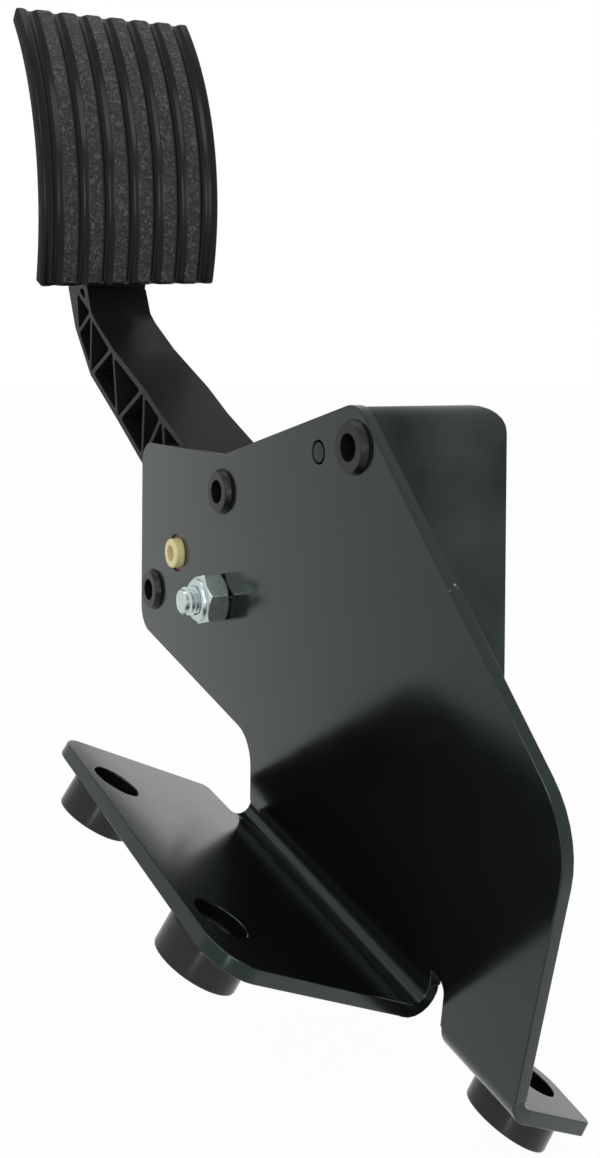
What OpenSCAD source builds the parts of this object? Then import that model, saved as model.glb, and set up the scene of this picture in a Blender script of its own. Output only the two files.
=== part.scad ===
// Accelerator pedal module: a curved tread on a truss lever, hinged in a deep cup on a folded steel bracket.
// Millimetres. The modules draw around the pivot, where its axis crosses the outer face of the plate:
// X runs into the cup, Y away from the driver and Z up. The finished part is moved so that the foot
// of its front left spacer is the origin.

/* [Plate] */
// Thickness of the steel sheet
sheet = 3; // [2.6:0.1:3.4]
// Inner radius of both bends
bend_in = 3; // [2.5:0.5:4]
// Slope of the fold line, in degrees
fold_slope = 8.4; // [7.6:0.2:9]
// Lean of the flanges to the side, in degrees
flange_lean = 30.8; // [28:0.4:32]
// Height of the pivot above the fold line
fold_drop = 56.9; // [56.5:0.1:60]
// Back edge, behind the pivot
plate_back = 28.7; // [28:0.1:31]
// Flat part of the top edge, above the pivot
plate_top = 32.5; // [31.5:0.1:34]
// Start of the rising top edge, in front of the pivot
rise_start = 31; // [29:0.5:33]
// Angle of the rising top edge, in degrees
rise_angle = 13.9; // [13:0.1:15]
// Nose of the plate, behind the cup's front
nose_in = 4.5; // [3:0.5:5.5]
// Toe of the plate, in front of the pivot
toe_front = 173.7; // [171:0.5:177]
// Toe of the plate, below the pivot
toe_drop = 25.1; // [22:0.5:28]
// Lower back corner, below the pivot
heel_drop = 27.5; // [26.5:0.5:30]
// Slope of the lower edge, in degrees
keel_slope = 11.2; // [10:0.2:12]
// Front side of the relief notch, in front of the pivot
notch_front = 50; // [48:0.5:52]
// Rounding of the relief notch
notch_r = 9; // [7:0.5:10]
// Rounding of the toe
toe_r = 20; // [15:1:25]
// Rounding of the back and nose corners
corner_r = 8; // [6:0.5:8]

/* [Flanges] */
// Outer edge of the left flange, from the fold line
left_reach = 62.3; // [62.3:0.5:70]
// Angle of the left flange's front edge, in degrees
front_taper = 9.3; // [7:0.5:12]
// Inner end of the back edge, along the fold line
left_back = 44.3; // [42:0.5:48]
// Angle of the back edge, in degrees
left_taper = 12.9; // [10:0.5:15]
// Rounding of the left flange's corners
left_r = 8; // [6:0.5:8]
// Back side of the relief slot, along the fold line
slot_back = 141.2; // [141:0.1:142]
// Width of the relief slot
slot_w = 4.5; // [3.5:0.5:5.5]
// Top of the relief slot, above the fold line
slot_top = 9.4; // [8:0.2:9.8]
// Front edge of the right tab, along the fold line
tab_front = 169.5; // [168.5:0.5:172]
// Outer front corner of the right tab, from the fold line
tab_reach = 28.3; // [28:0.2:33]
// Skew of the right tab, in degrees
tab_skew = 6.8; // [4:0.4:8]
// Rounding of the right tab's back corner
tab_r = 8; // [5:0.5:8]

/* [Feet] */
// Bore of the mounting holes
hole_d = 12; // [11:0.5:13]
// Outer diameter of the spacers
spacer_d = 18.2; // [17:0.2:18.4]
// Length of the spacers
spacer_h = 7; // [5:0.5:12]
// Left holes, from the fold line
left_hole = 53.1; // [52:0.1:53.1]
// Rear left hole, along the fold line
rear_hole = 74.8; // [73:0.2:78]
// Front left hole, along the fold line
front_hole = 132.1; // [128:0.5:134]
// Right hole, from the fold line
right_hole = 20.2; // [18.8:0.2:20.4]
// Right hole, along the fold line
tab_hole = 154.8; // [154.6:0.2:157]

/* [Cup] */
// Depth of the cup behind the plate
cup_depth = 38; // [37.5:0.5:42]
// Wall of the cup
wall = 3; // [2.6:0.2:3.2]
// Room between the rubbing face and the cup's front
front_room = 8.5; // [8.3:0.1:10]
// Back wall, behind the pivot
cup_back = 26; // [25.5:0.5:28]
// Floor, below the pivot
cup_floor = 28; // [27.6:0.2:30]
// Step from the plate's top edge down to the roof
roof_step = 0.7; // [0.5:0.1:1]
// End of the roof, in front of the pivot
roof_end = 18; // [17:0.5:19]
// Top of the back wall, below the pivot
back_rim = 2.4; // [2.2:0.2:4]
// Back top corner of the far wall, above the pivot
far_top = 24.5; // [24:0.5:26]
// Rounding of the roof's far edge
far_r = 8.5; // [7:0.5:9]
// Rounding of the front corners
cup_r = 6; // [5:0.5:7]

/* [Formed bosses] */
// Front boss, behind the cup's front
boss1_in = 5.4; // [5.3:0.1:6]
// Front boss, above the pivot
boss1_z = 39.4; // [38.5:0.1:40]
// Middle boss, in front of the pivot
boss2_y = 31.4; // [30.5:0.1:32]
// Middle boss, above the pivot
boss2_z = 22.1; // [21.8:0.1:22.6]
// Back boss, behind the pivot
boss3_y = 18.3; // [18:0.1:19]
// Back boss, below the pivot
boss3_z = 14.4; // [14:0.1:16]
// Shank of a boss in the plate
shank_d = 9.5; // [9:0.1:10]
// Formed head at the plate
head_d = 13.3; // [12.6:0.1:14]
// Front ring of the head
head_front_d = 11.6; // [10.6:0.1:12]
// Height of the head
head_h = 1.8; // [1.4:0.1:2.2]
// Bore of a boss
boss_bore = 6.6; // [6:0.1:7]
// Locating pin, behind the front boss
pin_in = 16.2; // [15:0.1:17]
// Locating pin, above the pivot
pin_z = 37.1; // [36.6:0.1:38]
// Locating pin
pin_d = 5; // [4.6:0.1:5.4]

/* [Lever] */
// Middle of the lever, from the plate's outer face
lever_mid = 22; // [21.6:0.1:22.2]
// Width of the lever
lever_w = 25; // [24:0.2:25.6]
// Web between the pockets
web = 3.5; // [3:0.5:5]
// Chords of the truss
chord = 2.6; // [2.2:0.1:3]
// Half thickness of a rib
rib_half = 1; // [0.8:0.1:1.2]
// Radius of the hub
hub_r = 16; // [15:0.5:16]
// Width of the inner arm
arm_w = 20; // [19:0.5:21]

/* [Tread] */
// Width of the tread
tread_w = 71.5; // [69:0.5:76]
// Radius of its curve
tread_r = 107; // [105.5:0.5:108]
// Lower end of the curve, in degrees
tread_low = 23; // [22.5:0.1:24]
// Upper end of the curve, in degrees
tread_high = 38.3; // [37:0.1:40]
// Roll about the travel direction, in degrees
tread_roll = 3.2; // [2:0.2:4]
// Spacing of the channels
channel_step = 10; // [9.4:0.1:10.2]
// Width of a channel
channel_w = 4.5; // [4:0.1:5]
// Depth of a channel
channel_deep = 1.4; // [1:0.1:1.6]
// Thickness of the tread over its carrier
tread_t = 3.5; // [3.2:0.1:4]
// Depth of the skirt
skirt = 7; // [6.6:0.1:8]
// Width of the skirt's wall
skirt_w = 3; // [2.5:0.1:3.5]
// Thickness of the carrier
carrier_t = 3; // [2.4:0.1:3]
// Rounding of the tread's corners
tread_corner = 1.5; // [1:0.5:4]

/* [Axle] */
// Journals of the axle
journal_d = 9; // [8.6:0.1:9.4]
// Middle of the axle
axle_d = 12; // [11:0.5:13]
// Blind hole in the axle's end
dimple_d = 4.8; // [4:0.2:5.2]
// Depth of the blind hole
dimple_deep = 6; // [4:0.5:10]
// Overhang of the axle outside the plate
axle_out = 2.3; // [2:0.1:3]
// Outer diameter of the plate's bearing ring
ring_d = 11.5; // [11:0.1:12.5]
// Recess of the plate's bearing ring
ring_in = 0.8; // [0.6:0.1:1.2]
// Collar of the bearing rings
collar_t = 1.5; // [1.2:0.1:1.8]

/* [Bolt] */
// Bolt, in front of the pivot
bolt_y = 30.5; // [30.2:0.1:31]
// Bolt, below the pivot
bolt_z = 8.3; // [8.1:0.1:9]
// Shank of the bolt
bolt_d = 8; // [7.6:0.1:8.2]
// Width across the flats
bolt_af = 13; // [12.6:0.1:13.4]
// Height of the nut without its collar
nut_h = 6.6; // [6:0.1:7]
// Height of the nut's collar
nut_collar_h = 1.5; // [1.2:0.1:2]
// Tip of the bolt outside the plate
bolt_out = 12.2; // [10:0.2:13]
// Height of the bolt's head
bolt_head_h = 5.3; // [5:0.1:6]
// Thickness of the washer
washer_t = 1.6; // [1.2:0.1:2]
// Outer diameter of the sleeve
sleeve_d = 12; // [11.6:0.1:12.2]
// Rubber of the rest stop
bumper_t = 2; // [1.6:0.1:2]

/* [Springs] */
// Distance of the spring seat from the pivot
seat_reach = 62; // [61.5:0.1:62.5]
// Angle of the spring seat below the pivot, in degrees
seat_angle = 8; // [7.8:0.1:8.2]
// Keel of the spring seat
keel_r = 3.5; // [3:0.1:3.6]
// Height of the seat above its keel axis
seat_h = 5; // [5:0.1:5.4]
// Outer spring
outer_d = 22; // [21:0.5:22]
// Wire of the outer spring
outer_wire = 2.2; // [1.8:0.1:2.4]
// Inner spring
inner_d = 14; // [13:0.5:15]
// Wire of the inner spring
inner_wire = 1.6; // [1.2:0.1:1.8]
// Turns of each spring
turns = 6; // [5:1:7]

/* [Friction pair] */
// Radius of the rubbing face
rub_r = 98; // [97.8:0.1:98.2]
// Height of the friction shoe
shoe_h = 11; // [9:0.5:11]
// Thickness of the friction track
track_t = 1.2; // [1:0.1:1.4]

/* [Sensor] */
// Half size of the case's body
body_half = 16.5; // [16.2:0.1:16.8]
// Rim of the case's base around its body
base_rim = 5; // [4.8:0.1:5.3]
// Wall of the case
case_wall = 2; // [1.8:0.1:2.2]
// Depth of the case
case_deep = 15; // [14.8:0.2:16]
// Thickness of the lid
lid_t = 2; // [1.6:0.1:2.6]
// Half width of the connector socket
socket_half = 12; // [11.8:0.2:13]
// Lower end of the connector socket, below the pivot
socket_low = 45; // [44:0.5:48]
// Spacing of the contact pins
pin_step = 4; // [3.8:0.1:4.2]
// Width of a contact pin
contact_w = 1; // [0.8:0.1:1.2]
// Head of the small screws
screw_head_d = 5.6; // [5:0.1:5.8]
// Shank of the small screws
screw_d = 3; // [2.6:0.1:3.2]

/* [Fits] */
// Radial clearance of a running fit
running = 0.05; // [0.03:0.01:0.08]
// Radial clearance of a tight fit
tight = 0.02; // [0.01:0.01:0.03]
// Gap between pieces that pass each other
gap = 0.3; // [0.25:0.05:0.35]

/* [Hidden] */
$fn = 64;
arc_steps = 7;
lap = 1;
relief = 0.4;
through = 5;
stroke = 16;

// A rounded corner: p between a and b, with radius r
function unit(v) = v / norm(v);
function corner(a, p, b, r) =
    r == 0 ? [p] :
    let (u = unit(a - p), v = unit(b - p), half = acos(u * v) / 2,
        c = p + unit(u + v) * r / sin(half), s = p + u * r / tan(half), e = p + v * r / tan(half),
        from = atan2(s[1] - c[1], s[0] - c[0]), turn = atan2(e[1] - c[1], e[0] - c[0]) - from,
        sweep = turn > 180 ? turn - 360 : turn < -180 ? turn + 360 : turn)
    [for (i = [0:arc_steps]) c + r * [cos(from + sweep * i / arc_steps),
        sin(from + sweep * i / arc_steps)]];
function xy(c) = [c[0], c[1]];
function rounded(list) =
    let (n = len(list))
    [for (i = [0:n - 1]) each corner(xy(list[(i + n - 1) % n]), xy(list[i]), xy(list[(i + 1) % n]),
        list[i][2])];
function box(y0, z0, y1, z1, r) = rounded([[y0, z0, r], [y1, z0, r], [y1, z1, r], [y0, z1, r]]);
function arc(c, r, from, to) =
    [for (i = [0:arc_steps]) c + r * [cos(from + (to - from) * i / arc_steps),
        sin(from + (to - from) * i / arc_steps)]];

// The panel between three points, with each side moved in
function line_meet(p, d, q,
    e) = p + d * ((q - p)[0] * e[1] - (q - p)[1] * e[0]) / (d[0] * e[1] - d[1] * e[0]);
function inward(d) = [-d[1], d[0]];
function panel(p, moves, r) =
    let (d = [for (i = [0:2]) unit(p[(i + 1) % 3] - p[i])])
    rounded([for (i = [0:2]) let (k = (i + 2) % 3,
        m = line_meet(p[k] + inward(d[k]) * moves[k], d[k], p[i] + inward(d[i]) * moves[i],
            d[i])) [m[0], m[1], r]]);

// Fold line and flanges
fold_y = fold_drop * sin(fold_slope);
fold_z = -fold_drop * cos(fold_slope);
function fold_point(t, n) =
    [fold_y + t * cos(fold_slope) - n * sin(fold_slope),
        fold_z + t * sin(fold_slope) + n * cos(fold_slope)];
function to_fold(y, z) = [(y - fold_y) * cos(fold_slope) + (z - fold_z) * sin(fold_slope),
    (z - fold_z) * cos(fold_slope) - (y - fold_y) * sin(fold_slope)];
bend_n = bend_in * (1 + sin(flange_lean)) / cos(flange_lean);
tab_n = (bend_in - (sheet + bend_in) * sin(flange_lean)) / cos(flange_lean);
tab_w = cos(flange_lean) * (sheet + bend_in) - sin(flange_lean) * tab_n;
bend_out = bend_in + sheet;
left_end = (left_reach + lap) * [-cos(flange_lean), sin(flange_lean)];
right_end = 2 * tab_reach * [cos(flange_lean), -sin(flange_lean)];
bend_back = (-notch_front - fold_point(0, bend_n)[0]) / cos(fold_slope);
flange_in = bend_n + lap;
foot_h = -sheet - spacer_h;
foot = let (x = -left_hole * cos(flange_lean) + foot_h * sin(flange_lean),
    n = left_hole * sin(flange_lean) + foot_h * cos(flange_lean), p = fold_point(-front_hole, n)) [x,
        p[0], p[1]];

// Edges of the plate and the cup
cup_front = rub_r + front_room;
nose_front = cup_front - nose_in;
boss1_y = cup_front - boss1_in;
pin_y = boss1_y - pin_in;
function rising(y) = plate_top + (-y - rise_start) * tan(rise_angle);
function roof(y) = rising(y) - roof_step;
function roof_under(y) = roof(y) - wall / cos(rise_angle);
function keel(y) = -heel_drop - (plate_back - y) * tan(keel_slope);
rise_r = 4;
axle_edge = 0.5;
far = sheet + cup_depth;
wall_in = far - wall;
cup_inner_r = cup_r - wall;
post_d = 2 * (cup_front - boss1_y) - 0.2;
lug_h = 8;
bosses = [[-boss1_y, boss1_z], [-boss2_y, boss2_z], [boss3_y, -boss3_z]];
pin_hole_d = pin_d + 1;

// Lever and inner arm
lever_x0 = lever_mid - lever_w / 2;
arm_x0 = lever_mid - arm_w / 2;
pocket_deep = (lever_w - web) / 2;
pocket_r = 0.8;
hub_x0 = sheet + collar_t + gap;
hub_x1 = wall_in - collar_t - gap;
seat = [-seat_reach * cos(seat_angle), -seat_reach * sin(seat_angle)];
rest_top = -bolt_z + sleeve_d / 2 + bumper_t + gap;
deck_slope = tan(stroke / 2);
deck_back = 14;
deck_front = 14;
land_slope = tan(stroke);
tip_angle = 10.5;
track_room = 1.6;
track_low = asin((cup_floor - wall - track_room) / (rub_r + gap + track_t));
track_high = 13;
tip_r = rub_r - 6;
tip_half = 4.9;
tip_mid = -tip_r * [cos(tip_angle), sin(tip_angle)];
tip_up = [-sin(tip_angle), cos(tip_angle)] * tip_half;
tip_top = tip_mid + tip_up;
tip_low = tip_mid - tip_up;
land_back = [tip_top[0] + 13.5, tip_top[1] + 13.5 * land_slope];
front_edge = [[112, 88.6], [110.9, 87.6], [106, 78], [101, 74.3], [82.1, 63.7], [50.8, 49.5], [34.6, 40.8],
    [16.2, 32.5], [-10, 19.7]];
rear_edge = [[26, 8.2], [52.6, 23.1], [76.9, 37], [106.7, 53.3], [125.1, 72.1], [134.2, 88.8]];
stem_edge = [[131, 100], [122, 120], [112, 150], [106, 167]];
top_front = [106, 78];
head_back = [125.8, 88.8];
head_front = [113, 88.6];
front_nodes = [[82.1, 63.7], [50.8, 49.5], [34.6, 40.8], [16.2, 32.5]];
rear_nodes = [[122.6, 69.5], [106.7, 53.3], [76.9, 37], [52.6, 23.1], [30, 10.4]];

// Tread
tread_face = 88;
tread_y = tread_face + tread_r;
tread_z = 130;
roll_y = 97.1;
roll_z = 88.7;
channels = 7;
channel_curve = (channel_w * channel_w / 4 + channel_deep * channel_deep) / (2 * channel_deep);
channel_turn = asin(channel_w / 2 / channel_curve);
carrier_r = tread_r - tread_t - gap;
stem_r = carrier_r - carrier_t / 2;
pocket_end = 1.1;

// Bolt, springs and sensor
bolt = [-bolt_y, -bolt_z];
nut_turn = 13.6;
chamfer_r = bolt_af / 2 - 0.3;
chamfer_slope = 1.7;
nut_brim = 0.7;
seat_top = seat[1] + seat_h;
spring_y = seat[0];
spring_top = roof_under(spring_y + outer_d / 2) - gap;
peg_r = inner_d / 2 - inner_wire - 0.4;
wire_sides = 8;
wire_steps = 18;
bumper_y = 8 - tip_r;
bumper_half = 5;
bumper_low = -sin(tip_angle - stroke + atan(tip_half / tip_r) * -1) * norm(tip_top) + gap;
bumper_block = 10;
base_half = body_half + base_rim;
base_t = 2.5;
washer_r = bolt_af / 2 + 1.4;
seal_r = 15;
seal_in = 13;
seal_t = 1;
lid_bite = 5;
screw_at = base_half - 2.9;
lid_screw_at = body_half - 3.9;
case_end = far + case_deep;
cavity_half = body_half - case_wall;
floor_x = far + base_t;
carrier_x0 = floor_x + 0.5;
magnet_r = 9;
magnet_in = 6;
board_x = far + 9.5;
board_t = 1.6;
chip_t = 1.2;
board_r = cavity_half - 0.5;
contact_top = -10.6;
contact_low = -35;
socket_x0 = far + 3;
socket_x1 = case_end + lid_t;
contact_x = [board_x - 1.9, board_x + board_t + 1.9];

// Frames
module placed() translate(-foot) children();
module in_fold() translate([0, fold_y, fold_z]) rotate([fold_slope, 0, 0]) children();
module in_flange() in_fold() rotate([0, flange_lean, 0]) children();
module side_plate(points, x0, x1) translate([x0, 0, 0]) rotate([90, 0,
    90]) linear_extrude(x1 - x0) polygon(points);
module rod(at, x0, x1, r) translate([x0, at[0], at[1]]) rotate([0, 90, 0])
    cylinder(h = x1 - x0, r = r, $fn = r > rub_r / 2 ? 6 * $fn : $fn);
module taper(at, x0, x1, r0, r1) translate([x0, at[0], at[1]]) rotate([0, 90, 0]) cylinder(h = x1 - x0,
    r1 = r0, r2 = r1);
module block(x0, y0, z0, x1, y1, z1) translate([x0, y0, z0]) cube([x1 - x0, y1 - y0, z1 - z0]);
module tube(at, x0, x1, r, bore) difference() {
    rod(at, x0, x1, r);
    rod(at, x0 - lap, x1 + lap, bore);
}
module hexagon(at, x0, x1) intersection() {
    translate([x0, at[0], at[1]]) rotate([0, 90, 0]) rotate(nut_turn) cylinder(h = x1 - x0,
        d = bolt_af / cos(30), $fn = 6);
    taper(at, x0, x1 + lap, chamfer_r, chamfer_r + (x1 - x0 + lap) * chamfer_slope);
    taper(at, x0 - lap, x1, chamfer_r + (x1 - x0 + lap) * chamfer_slope, chamfer_r);
}

// Folded bracket
module web_plate() in_fold() rotate([90, 0, 90]) linear_extrude(sheet) polygon(rounded([
    concat(to_fold(plate_back, plate_top), corner_r - 1),
    concat(to_fold(-rise_start, plate_top), rise_r),
    concat(to_fold(-nose_front, rising(-nose_front)), corner_r),
    concat(to_fold(-toe_front, -toe_drop), toe_r),
    [-tab_front, tab_n, 0],
    [-slot_back - slot_w, tab_n, 0],
    [-slot_back - slot_w, slot_top, slot_w * 0.6],
    [-slot_back, slot_top, 0],
    [-slot_back, bend_n, 0],
    [bend_back, bend_n, 0],
    concat(to_fold(-notch_front, keel(-notch_front)), notch_r),
    concat(to_fold(plate_back, -heel_drop), corner_r)]));
module flange_cut(outline) in_flange() translate([0, 0, -sheet - lap]) linear_extrude(3 * bend_out)
    polygon(rounded(outline));
module left_side() intersection() {
    in_fold() rotate([90, 0, 0]) linear_extrude(2 * slot_back) polygon(concat(
        arc([-bend_in, bend_n], bend_out, 0, -90 - flange_lean),
        [left_end - sheet * [sin(flange_lean), cos(flange_lean)], left_end],
        arc([-bend_in, bend_n], bend_in, -90 - flange_lean, 0)));
    flange_cut([
        [bend_out, bend_back - relief, 0],
        [-flange_in, bend_back - relief, 0],
        [-flange_in - lap, -left_back, 2],
        [-left_reach, -left_back - (left_reach - flange_in - lap) * tan(left_taper), left_r],
        [-left_reach, -slot_back - (left_reach - flange_in) * tan(front_taper), left_r],
        [-flange_in, relief - slot_back, 0],
        [bend_out, relief - slot_back, 0]]);
}
module right_side() intersection() {
    in_fold() rotate([90, 0, 0]) linear_extrude(2 * slot_back) polygon(concat(
        arc([bend_out, tab_n], bend_out, 180, 270 - flange_lean),
        [right_end - sheet * [sin(flange_lean), cos(flange_lean)], right_end],
        arc([bend_out, tab_n], bend_in, 270 - flange_lean, 180)));
    flange_cut([
        [-bend_in, -slot_back - slot_w - relief, 0],
        [-bend_in, relief - tab_front, 0],
        [tab_w + lap, relief - tab_front, 0],
        [tab_reach, -tab_front + (tab_reach - tab_w) * tan(tab_skew), 2],
        [tab_reach + (tab_front - slot_back - slot_w) * tan(tab_skew), -slot_back - slot_w - relief,
            tab_r]]);
}
module foot_hole(w, t) in_flange() translate([w, t, -sheet - lap]) cylinder(h = sheet + 2 * lap,
    d = hole_d);
module bracket() color([0.16, 0.17, 0.17]) placed() difference() {
    union() {
        web_plate();
        left_side();
        right_side();
    }
    foot_hole(-left_hole, -rear_hole);
    foot_hole(-left_hole, -front_hole);
    foot_hole(right_hole, -tab_hole);
    for (b = bosses) rod(b, -lap, sheet + lap, shank_d / 2 + running);
    rod([-pin_y, pin_z], -lap, sheet + lap, pin_hole_d / 2);
    rod([0, 0], -lap, sheet + lap, ring_d / 2 + tight);
    rod(bolt, -lap, sheet + lap, bolt_d / 2 + gap);
}
module spacer(w, t) color([0.3, 0.3, 0.29]) placed() in_flange() translate([w, t, foot_h]) difference() {
    cylinder(h = spacer_h, d = spacer_d);
    translate([0, 0, -lap]) cylinder(h = spacer_h + 2 * lap, d = hole_d);
}
module spacer_rear_left() spacer(-left_hole, -rear_hole);
module spacer_front_left() spacer(-left_hole, -front_hole);
module spacer_right() spacer(right_hole, -tab_hole);

// Cup with its formed bosses
module roof_bar(inset) translate([0, 0, roof(0)]) rotate([-rise_angle, 0, 0]) translate([0,
    2 * cup_back, 0])
    rotate([90, 0, 0]) linear_extrude(2 * cup_front) polygon(rounded([
        [-lap, -4 * cup_floor, 0],
        [far - inset, -4 * cup_floor, 0],
        [far - inset, -inset, far_r - inset],
        [-lap, -inset, 0]]));
module cup_outer() {
    intersection() {
        side_plate(rounded([
            [-roof_end, -cup_floor, 0],
            [-roof_end, roof(-roof_end), 0],
            [-cup_front, roof(-cup_front), cup_r],
            [-cup_front, -cup_floor, cup_r]]), sheet, far);
        roof_bar(0);
    }
    side_plate(rounded([
        [-roof_end - lap, -cup_floor, 0],
        [cup_back, -cup_floor, cup_r],
        [cup_back, -back_rim, 0],
        [-roof_end - lap, -back_rim, 0]]), sheet, far);
    side_plate(rounded([
        [-roof_end - lap, -cup_floor, 0],
        [cup_back, -cup_floor, cup_r],
        [cup_back, far_top, cup_r - 1],
        [-roof_end - lap, roof(-roof_end), 0]]), wall_in, far);
}
module cup_inner() {
    intersection() {
        side_plate(rounded([
            [-roof_end + lap, wall - cup_floor, 0],
            [-roof_end + lap, roof_under(-roof_end + lap), 0],
            [wall - cup_front, roof_under(wall - cup_front), cup_inner_r],
            [wall - cup_front, wall - cup_floor, cup_inner_r]]), -lap, wall_in);
        roof_bar(wall);
    }
    side_plate(rounded([
        [-roof_end, wall - cup_floor, 0],
        [cup_back - wall, wall - cup_floor, cup_inner_r],
        [cup_back - wall, far_top, 0],
        [-roof_end, far_top, 0]]), -lap, wall_in);
}
module boss_post(at, x1) {
    rod(at, sheet, x1, post_d / 2);
    rod(at, -lap, sheet + lap, shank_d / 2);
    taper(at, -head_h, 0, head_front_d / 2, head_d / 2);
}
module roof_lug(at, half) intersection() {
    side_plate([
        [at[0] - half, at[1]],
        [at[0] + half, at[1]],
        [at[0] + half, roof(at[0] + half) - lap],
        [at[0] - half, roof(at[0] - half) - lap]], sheet, sheet + lug_h);
    roof_bar(0);
}
module track_block() intersection() {
    difference() {
        block(arm_x0 - lap, lap - cup_front, lap - cup_floor, wall_in + lap, -rub_r * cos(19), 26);
        rod([0, 0], -lap, wall_in, rub_r + gap + track_t + gap);
    }
    cup_outer();
}
module housing() color([0.13, 0.13, 0.13]) placed() difference() {
    union() {
        difference() {
            cup_outer();
            cup_inner();
        }
        boss_post(bosses[0], wall_in + lap);
        boss_post(bosses[1], sheet + lug_h);
        roof_lug(bosses[1], post_d / 2);
        boss_post(bosses[2], wall_in + lap);
        rod([-pin_y, pin_z], 0, sheet + lug_h, pin_d / 2);
        roof_lug([-pin_y, pin_z - pin_d / 2], pin_d);
        track_block();
        intersection() {
            union() {
                translate([lever_mid, spring_y, spring_top]) cylinder(h = cup_front, d = outer_d + lap);
                block(lever_mid - bumper_half - 2, bumper_y - bumper_half, bumper_low + bumper_block,
                    lever_mid + bumper_half + 2, bumper_y + bumper_half, cup_front);
            }
            union() {
                cup_outer();
            }
        }
        translate([lever_mid, spring_y, spring_top - 4]) cylinder(h = 5, r = peg_r);
        for (y = [-screw_at, screw_at]) for (z = [-screw_at, screw_at])
            rod([y, z], wall_in - wall + gap, wall_in + lap, screw_d / 2 + 2.2);
    }
    for (b = bosses) rod(b, -head_h - lap, sheet + lug_h - 2, boss_bore / 2);
    rod([0, 0], wall_in - lap, far + lap, ring_d / 2 + 1 + tight);
    rod(bolt, wall_in - lap, far + lap, bolt_d / 2 + gap);
    for (y = [-screw_at, screw_at]) for (z = [-screw_at, screw_at])
        rod([y, z], wall_in - lap, far + lap, screw_d / 2 + tight);
}

// Lever with its hub, inner arm and tread carrier
module in_tread() translate([lever_mid, roll_y, roll_z]) rotate([0, -tread_roll, 0])
    translate([0, tread_y - roll_y, tread_z - roll_z]) rotate([90, 0, -90]) children();
module shell(r0, r1, half, from, to) in_tread() rotate(from) rotate_extrude(angle = to - from, $fn = 96)
    polygon([[r0, -half], [r1, -half], [r1, half], [r0, half]]);
function stem_front() = [for (z = [168, 150, 130,
    112]) [tread_y - sqrt(stem_r * stem_r - pow(z - tread_z, 2)), z]];
module lever_pockets(x0, x1) {
    side_plate(panel([top_front, rear_nodes[0], head_back], [rib_half, chord, rib_half], pocket_r), x0, x1);
    side_plate(panel([top_front, head_back, head_front], [rib_half, rib_half, chord], pocket_r), x0, x1);
    side_plate(panel([top_front, rear_nodes[1], rear_nodes[0]], [rib_half, chord, rib_half], pocket_r),
        x0, x1);
    side_plate(panel([top_front, front_nodes[0], rear_nodes[1]], [chord, rib_half, rib_half],
        pocket_r), x0, x1);
    for (i = [0:2]) side_plate(panel([front_nodes[i], rear_nodes[i + 2], rear_nodes[i + 1]],
        [rib_half, chord, rib_half], pocket_r), x0, x1);
    for (i = [0:1]) side_plate(panel([front_nodes[i], front_nodes[i + 1], rear_nodes[i + 2]],
        [chord, rib_half, rib_half], pocket_r), x0, x1);
    side_plate(panel([front_nodes[2], front_nodes[3], rear_nodes[4]], [chord, rib_half, rib_half],
        pocket_r), x0, x1);
}
module lever() color([0.2, 0.2, 0.19]) placed() difference() {
    union() {
        side_plate(concat(front_edge, [[0, 10], [9, -0.6]], rear_edge), lever_x0, lever_x0 + lever_w);
        side_plate(concat(stem_front(), [[100, 109], [110, 98], [112, 88.6], [112, 85]],
            [[130, 81.1], [134.2, 88.8]], stem_edge), lever_x0, lever_x0 + lever_w);
        rod([0, 0], hub_x0, hub_x1, hub_r);
        side_plate([
            [0, 12],
            [-22, 11],
            [-42, 4],
            [seat[0] + deck_back, seat[1] + deck_back * deck_slope],
            [seat[0] - deck_front, seat[1] - deck_front * deck_slope],
            land_back,
            tip_top,
            tip_low,
            [-70, seat[1] - 9.5],
            [-46, seat[1] - 6],
            [-43.5, seat[1] - 5],
            [-41.5, rest_top],
            [0, rest_top]], arm_x0, arm_x0 + arm_w);
        shell(carrier_r - carrier_t, carrier_r, tread_w / 2 - skirt_w - gap, pocket_end + gap - tread_low,
            tread_high - pocket_end - gap);
    }
    lever_pockets(lever_x0 - lap, lever_x0 + pocket_deep);
    lever_pockets(lever_x0 + lever_w - pocket_deep, lever_x0 + lever_w + lap);
    rod([0, 0], hub_x0 - lap, hub_x1 + lap, axle_d / 2 + tight);
    rod(seat, arm_x0 - lap, arm_x0 + arm_w + lap, keel_r + running);
}
function channel(z) = [for (i = [0:6]) let (a = channel_turn * (i - 3) / 3)
    [tread_r - channel_deep + channel_curve - channel_curve * cos(a), z + channel_curve * sin(a)]];
module pad() color([0.12, 0.12, 0.12]) placed() difference() {
    intersection() {
        in_tread() rotate(-tread_low) rotate_extrude(angle = tread_high + tread_low,
            $fn = 96) polygon(concat(
            [[tread_r - skirt, tread_w / 2 + lap], [tread_r - skirt, -tread_w / 2 - lap], [tread_r,
                -tread_w / 2 - lap]],
            [for (k = [0:channels - 1]) each channel((k - (channels - 1) / 2) * channel_step)],
            [[tread_r, tread_w / 2 + lap]]));
        translate([lever_mid, roll_y, roll_z]) rotate([0, -tread_roll, 0])
            translate([0, tread_r, tread_z - roll_z]) rotate([90, 0, 0]) linear_extrude(2 * tread_r)
            polygon(box(-tread_w / 2, -tread_r * sin(tread_low), tread_w / 2,
                tread_r * sin(tread_high), tread_corner));
    }
    shell(tread_r - skirt - lap, tread_r - tread_t, tread_w / 2 - skirt_w, pocket_end - tread_low,
        tread_high - pocket_end);
}
module axle() color([0.93, 0.89, 0.74]) placed() difference() {
    union() {
        rod([0, 0], axle_edge - axle_out, carrier_x0 + 5, journal_d / 2);
        taper([0, 0], -axle_out, axle_edge - axle_out, journal_d / 2 - axle_edge, journal_d / 2);
        rod([0, 0], hub_x0, hub_x1, axle_d / 2);
    }
    rod([0, 0], -axle_out - lap, dimple_deep - axle_out, dimple_d / 2);
}
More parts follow.
